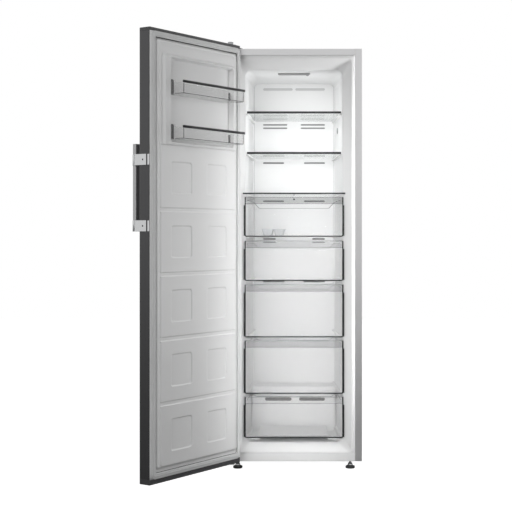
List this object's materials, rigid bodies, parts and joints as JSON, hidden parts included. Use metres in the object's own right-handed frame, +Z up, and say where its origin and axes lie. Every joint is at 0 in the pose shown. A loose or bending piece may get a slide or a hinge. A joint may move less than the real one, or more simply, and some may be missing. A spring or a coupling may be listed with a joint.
{
  "type": "upright freezer",
  "caption": "Tall upright freezer, hinged door open, glass shelves over clear pull-out drawers, door bins, bar handle, cooling coil and fan behind a cover, compressor niche, levelling feet.",
  "frame": {"origin": "centre of the cabinet's flat underside; the feet and rollers reach 36 mm below it to the floor", "axes": "+Z up, +Y from the door side to the back, +X to the right seen from the front; the door's hinge is on the -X side"},
  "size_m": [0.9416, 1.1462, 1.8622],
  "materials": {
    "casing_steel": "silver-grey painted sheet, fine satin",
    "galvanised_steel": "zinc-coated sheet, dull",
    "white_plastic": "white vacuum-formed liner, soft gloss",
    "insulation": "rigid foam, matt",
    "dark_cap": "dark grey moulded plastic, satin",
    "gasket": "light grey soft seal, matt",
    "clear_plastic": "clear moulded plastic, glossy",
    "shelf_glass": "toughened glass, polished",
    "dark_trim": "dark moulded trim, satin gloss",
    "lamp_lens": "frosted white lens",
    "handle_metal": "brushed grey bar",
    "bright_metal": "polished bright metal",
    "ice_tray_plastic": "white moulded plastic",
    "machine_black": "black enamel",
    "black_plastic": "black moulded plastic, matt",
    "copper_pipe": "drawn copper, semi-bright",
    "coil_aluminium": "plain aluminium fins",
    "foot_plastic": "dark moulded foot"
  },
  "bodies": {
    "cabinet": {"side_panel_left": "casing_steel", "side_panel_right": "casing_steel", "top_panel": "casing_steel", "back_panel": "galvanised_steel", "base_plate": "galvanised_steel", "niche_plate": "galvanised_steel", "top_hinge": "galvanised_steel", "bottom_hinge": "galvanised_steel", "roller_bracket_left": "galvanised_steel", "roller_bracket_right": "galvanised_steel", "bottom_rail": "white_plastic", "inner_liner": "white_plastic", "duct_cover": "white_plastic", "return_cover": "white_plastic", "fan_mount": "white_plastic", "insulation_foam": "insulation", "hinge_cover": "dark_cap", "shelf_glass_upper": "shelf_glass", "shelf_glass_middle": "shelf_glass", "shelf_glass_lower": "shelf_glass", "shelf_trim_upper": "dark_trim", "shelf_trim_middle": "dark_trim", "shelf_trim_lower": "dark_trim", "led_lamp": "lamp_lens", "compressor": "machine_black", "drip_tray": "black_plastic", "rear_cover": "black_plastic", "cord_gland": "black_plastic", "discharge_pipe": "copper_pipe", "suction_pipe": "copper_pipe", "evaporator_coil": "coil_aluminium"},
    "door": {"door_skin": "casing_steel", "door_foam": "insulation", "door_liner": "white_plastic", "door_gasket": "gasket", "door_cap_top": "dark_cap", "door_cap_bottom": "dark_cap", "handle_bar": "handle_metal", "handle_arm_lower": "bright_metal", "handle_arm_upper": "bright_metal", "door_bin_upper": "clear_plastic", "door_bin_lower": "clear_plastic", "bin_rail_upper": "dark_trim", "bin_rail_lower": "dark_trim"},
    "drawer_1": {"drawer_box_1": "clear_plastic", "drawer_front_1": "clear_plastic", "ice_tray": "ice_tray_plastic"},
    "drawer_2": {"drawer_box_2": "clear_plastic", "drawer_front_2": "clear_plastic"},
    "drawer_3": {"drawer_box_3": "clear_plastic", "drawer_front_3": "clear_plastic"},
    "drawer_4": {"drawer_box_4": "clear_plastic", "drawer_front_4": "clear_plastic"},
    "drawer_5": {"drawer_box_5": "clear_plastic", "drawer_front_5": "clear_plastic"},
    "fan_wheel_body": {"fan_wheel": "white_plastic"},
    "foot_left_body": {"foot_left": "foot_plastic"},
    "foot_right_body": {"foot_right": "foot_plastic"},
    "rear_roller_left_body": {"rear_roller_left": "foot_plastic"},
    "rear_roller_right_body": {"rear_roller_right": "foot_plastic"}
  },
  "joints": [
    {"name": "door_hinge", "type": "hinge", "parent": "cabinet", "child": "door", "pos_m": [-0.275, -0.344, 0.9], "axis": [0, 0, -1], "range_deg": [-124, 0]},
    {"name": "drawer_1_slide", "type": "slide", "parent": "cabinet", "child": "drawer_1", "axis": [0, -1, 0], "range_m": [0, 0.34]},
    {"name": "drawer_2_slide", "type": "slide", "parent": "cabinet", "child": "drawer_2", "axis": [0, -1, 0], "range_m": [0, 0.34]},
    {"name": "drawer_3_slide", "type": "slide", "parent": "cabinet", "child": "drawer_3", "axis": [0, -1, 0], "range_m": [0, 0.34]},
    {"name": "drawer_4_slide", "type": "slide", "parent": "cabinet", "child": "drawer_4", "axis": [0, -1, 0], "range_m": [0, 0.34]},
    {"name": "drawer_5_slide", "type": "slide", "parent": "cabinet", "child": "drawer_5", "axis": [0, -1, 0], "range_m": [0, 0.26]},
    {"name": "fan_spin", "type": "hinge", "parent": "cabinet", "child": "fan_wheel_body", "pos_m": [0, 0.195, 0.65], "axis": [0, 1, 0], "continuous": true},
    {"name": "foot_left_screw", "type": "hinge", "parent": "cabinet", "child": "foot_left_body", "pos_m": [-0.2475, -0.262, -0.02], "axis": [0, 0, 1], "continuous": true},
    {"name": "foot_right_screw", "type": "hinge", "parent": "cabinet", "child": "foot_right_body", "pos_m": [0.2475, -0.262, -0.02], "axis": [0, 0, 1], "continuous": true},
    {"name": "rear_roller_left_spin", "type": "hinge", "parent": "cabinet", "child": "rear_roller_left_body", "pos_m": [-0.2405, 0.26, -0.021], "axis": [1, 0, 0], "continuous": true},
    {"name": "rear_roller_right_spin", "type": "hinge", "parent": "cabinet", "child": "rear_roller_right_body", "pos_m": [0.2405, 0.26, -0.021], "axis": [1, 0, 0], "continuous": true}
  ]
}
